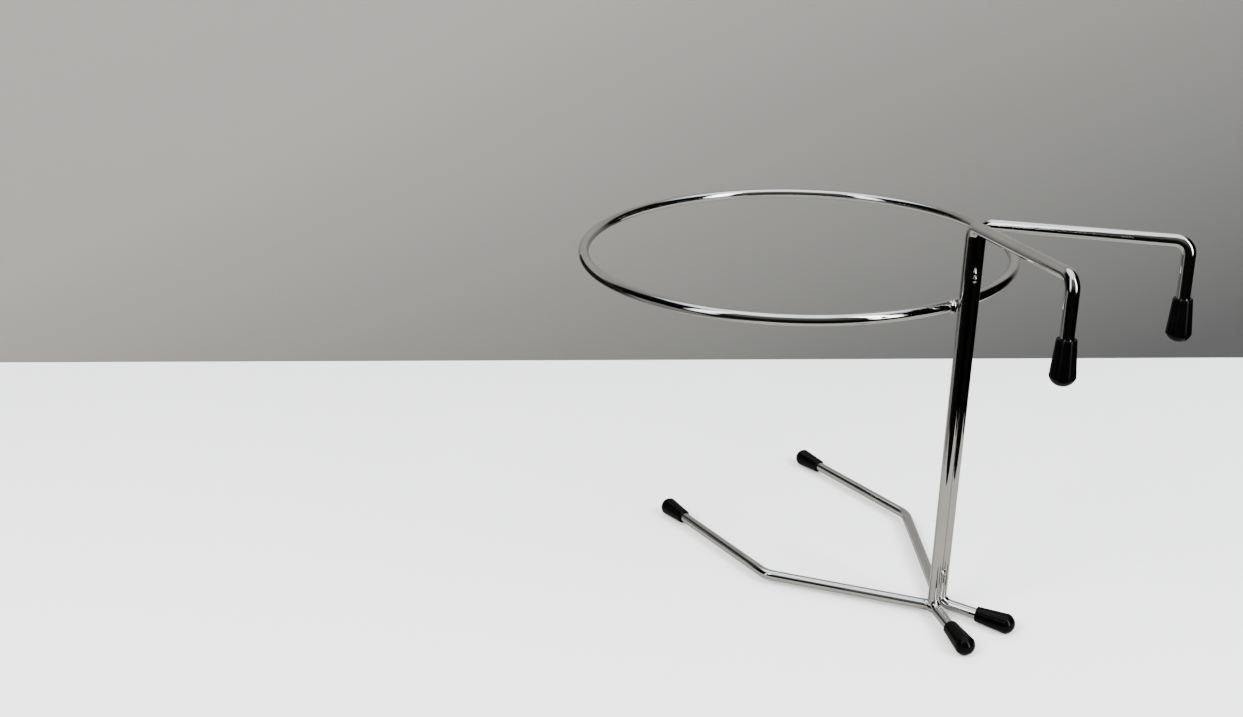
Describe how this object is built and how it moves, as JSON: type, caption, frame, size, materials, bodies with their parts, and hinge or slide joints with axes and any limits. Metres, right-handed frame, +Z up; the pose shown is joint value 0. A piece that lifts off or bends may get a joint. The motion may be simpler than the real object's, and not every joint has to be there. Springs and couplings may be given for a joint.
{
  "type": "champagne bucket stand",
  "caption": "Chromed wire stand that holds a champagne bucket in a ring, with two capped hooks at the top and capped legs and feet underneath.",
  "frame": {"origin": "on the table plane, under the middle of the stand's overall length and width", "axes": "+Z up, +Y from the bucket ring towards the posts and hooks, +X to the right side rod; X = 0 is the mirror plane"},
  "size_m": [0.21, 0.2876, 0.192],
  "materials": {
    "chrome": "bright chrome plate on round steel wire, a few fine pits and hairline scratches",
    "weld": "plated weld metal, uneven and slightly dull",
    "rubber": "black soft moulded cap, satin with a low gloss"
  },
  "bodies": {
    "root": {"bucket_ring": "chrome", "left_side_rod": "chrome", "right_side_rod": "chrome", "left_leg_rod": "chrome", "right_leg_rod": "chrome", "left_ring_weld": "weld", "right_ring_weld": "weld", "upper_post_weld": "weld", "lower_post_weld": "weld", "left_leg_weld": "weld", "right_leg_weld": "weld", "left_hook_cap": "rubber", "right_hook_cap": "rubber", "left_foot_cap": "rubber", "right_foot_cap": "rubber", "left_leg_cap": "rubber", "right_leg_cap": "rubber"}
  },
  "joints": []
}
